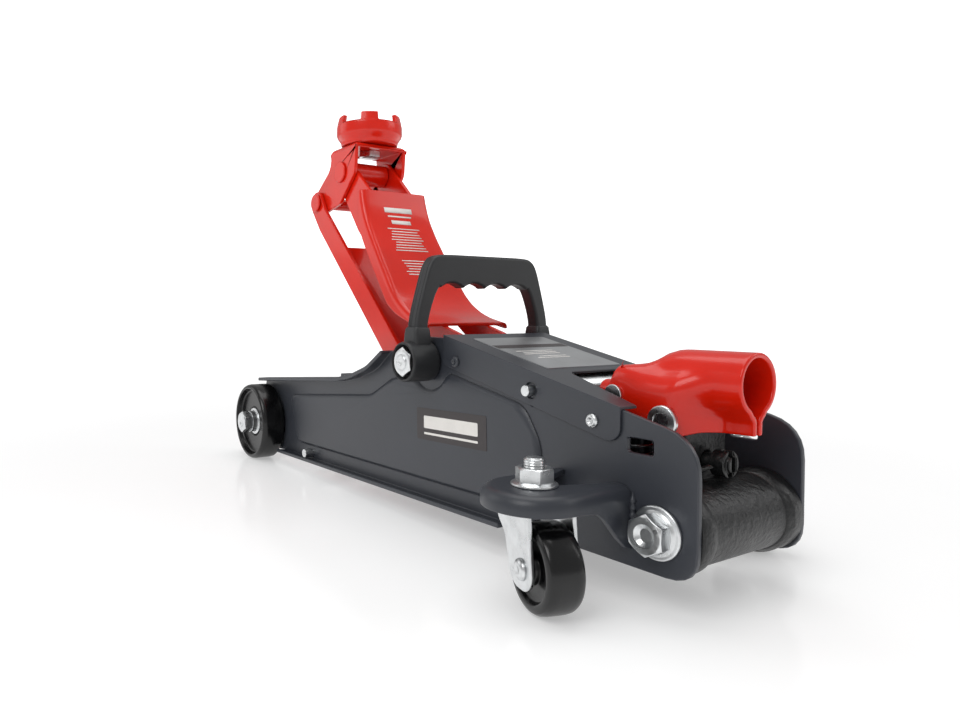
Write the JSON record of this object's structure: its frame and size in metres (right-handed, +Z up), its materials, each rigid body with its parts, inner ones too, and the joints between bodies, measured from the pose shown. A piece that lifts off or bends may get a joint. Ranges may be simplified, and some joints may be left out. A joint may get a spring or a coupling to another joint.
{
  "type": "car jack",
  "caption": "Low profile hydraulic floor jack with raised lifting arm, toothed saddle, carry handle, pump handle socket, front wheels and rear casters.",
  "frame": {"origin": "floor point under the middle of the jack's bounding box", "axes": "+X towards the pump handle end, +Z up, -Y is the jack's left side"},
  "size_m": [0.4656, 0.2092, 0.2966],
  "materials": {
    "painted_red": "gloss red powder coat on pressed steel",
    "painted_charcoal": "satin charcoal paint on pressed steel",
    "zinc_plated_steel": "bright zinc plating",
    "dark_steel": "plain turned steel, lightly oiled",
    "cast_iron_black": "black painted rough casting",
    "black_plastic": "black moulded polyamide",
    "label_foil": "silver foil label, blank"
  },
  "bodies": {
    "frame": {"left_side_plate": "painted_charcoal", "right_side_plate": "painted_charcoal", "cover_plate": "painted_charcoal", "cover_label": "label_foil", "cover_screws": "zinc_plated_steel", "front_axle": "dark_steel", "front_axle_nuts": "zinc_plated_steel", "front_tie_rod": "zinc_plated_steel", "spring_anchor_rod": "zinc_plated_steel", "spring_anchor_sleeve": "zinc_plated_steel", "main_pivot_shaft": "dark_steel", "main_pivot_nuts": "zinc_plated_steel", "main_pivot_spacers": "dark_steel", "link_stub_pins": "zinc_plated_steel", "ram_cylinder": "cast_iron_black", "oil_reservoir": "cast_iron_black", "ram_gland_nut": "dark_steel", "power_unit_block": "cast_iron_black", "rear_flange_bolts": "zinc_plated_steel", "pump_spring": "zinc_plated_steel", "return_springs": "zinc_plated_steel", "caster_bracket_left": "painted_charcoal", "caster_bracket_right": "painted_charcoal", "caster_stem_left": "zinc_plated_steel", "caster_stem_right": "zinc_plated_steel", "caster_race_left": "zinc_plated_steel", "caster_race_right": "zinc_plated_steel"},
    "wheel_left": {"front_wheel_left": "black_plastic"},
    "wheel_right": {"front_wheel_right": "black_plastic"},
    "carry_handle": {"carry_handle": "black_plastic"},
    "arm": {"arm_wall_left": "painted_red", "arm_wall_right": "painted_red", "arm_top_plate": "painted_red", "push_pin": "dark_steel", "push_roller": "dark_steel"},
    "bracket": {"saddle_bracket": "painted_red", "bracket_pin": "painted_red", "bracket_spacer": "painted_red", "link_pin": "painted_red", "saddle_bolt": "zinc_plated_steel"},
    "saddle": {"saddle": "painted_red"},
    "link": {"link_bar_left": "painted_red", "link_bar_right": "painted_red", "link_web": "painted_red"},
    "ram": {"piston_rod": "dark_steel"},
    "socket": {"handle_socket": "painted_red", "socket_pivot_bolt": "zinc_plated_steel", "socket_nose_pin": "zinc_plated_steel"},
    "pump": {"pump_plunger": "dark_steel"},
    "valve": {"release_valve": "cast_iron_black"},
    "caster_left": {"caster_fork_left": "zinc_plated_steel", "caster_axle_left": "zinc_plated_steel"},
    "caster_right": {"caster_fork_right": "zinc_plated_steel", "caster_axle_right": "zinc_plated_steel"},
    "caster_wheel_left": {"caster_wheel_left": "black_plastic"},
    "caster_wheel_right": {"caster_wheel_right": "black_plastic"}
  },
  "joints": [
    {"name": "arm_lift", "type": "hinge", "parent": "frame", "child": "arm", "pos_m": [0.0467, 0, 0.1038], "axis": [0, 1, 0], "range_deg": [-51.5, 0], "deforming": ["return_springs"]},
    {"name": "bracket_level", "type": "hinge", "parent": "arm", "child": "bracket", "pos_m": [-0.09876, 0, 0.25079], "axis": [0, 1, 0], "range_deg": [0, 51.5]},
    {"name": "saddle_swivel", "type": "hinge", "parent": "bracket", "child": "saddle", "pos_m": [-0.09336, 0, 0.27209], "axis": [0, 0, 1], "continuous": true},
    {"name": "link_swing", "type": "hinge", "parent": "frame", "child": "link", "pos_m": [0.0128, 0, 0.0826], "axis": [0, 1, 0], "range_deg": [-51.5, 0]},
    {"name": "ram_stroke", "type": "slide", "parent": "frame", "child": "ram", "axis": [1, 0, 0], "range_m": [0, 0.0392]},
    {"name": "carry_handle_fold", "type": "hinge", "parent": "frame", "child": "carry_handle", "pos_m": [0.0467, 0, 0.1038], "axis": [0, 1, 0], "range_deg": [-22, 52]},
    {"name": "front_wheel_left_spin", "type": "hinge", "parent": "frame", "child": "wheel_left", "pos_m": [-0.1987, -0.055, 0.0341], "axis": [0, 1, 0], "continuous": true},
    {"name": "front_wheel_right_spin", "type": "hinge", "parent": "frame", "child": "wheel_right", "pos_m": [-0.1987, 0.055, 0.0341], "axis": [0, 1, 0], "continuous": true},
    {"name": "pump_stroke_lever", "type": "hinge", "parent": "frame", "child": "socket", "pos_m": [0.2008, 0, 0.0835], "axis": [0, -1, 0], "range_deg": [0, 40]},
    {"name": "plunger_stroke", "type": "slide", "parent": "frame", "child": "pump", "axis": [0, 0, -1], "range_m": [0, 0.0208], "deforming": ["pump_spring"]},
    {"name": "release_valve_turn", "type": "hinge", "parent": "frame", "child": "valve", "pos_m": [0.2063, 0, 0.064], "axis": [1, 0, 0], "range_deg": [-180, 0]},
    {"name": "caster_left_swivel", "type": "hinge", "parent": "frame", "child": "caster_left", "pos_m": [0.1747, -0.0798, 0.049], "axis": [0, 0, 1], "continuous": true},
    {"name": "caster_left_roll", "type": "hinge", "parent": "caster_left", "child": "caster_wheel_left", "pos_m": [0.18522, -0.08302, 0.0206], "axis": [0.2924, 0.9563, 0], "continuous": true},
    {"name": "caster_right_swivel", "type": "hinge", "parent": "frame", "child": "caster_right", "pos_m": [0.1747, 0.0798, 0.049], "axis": [0, 0, 1], "continuous": true},
    {"name": "caster_right_roll", "type": "hinge", "parent": "caster_right", "child": "caster_wheel_right", "pos_m": [0.18522, 0.08302, 0.0206], "axis": [-0.2924, 0.9563, 0], "continuous": true}
  ],
  "couplings": [
    {"joint": "bracket_level", "follows": "arm_lift", "ratio": -1},
    {"joint": "link_swing", "follows": "arm_lift", "ratio": 1},
    {"joint": "ram_stroke", "follows": "arm_lift", "m_per_rad": -0.0435},
    {"joint": "plunger_stroke", "follows": "pump_stroke_lever", "m_per_rad": 0.029651}
  ]
}
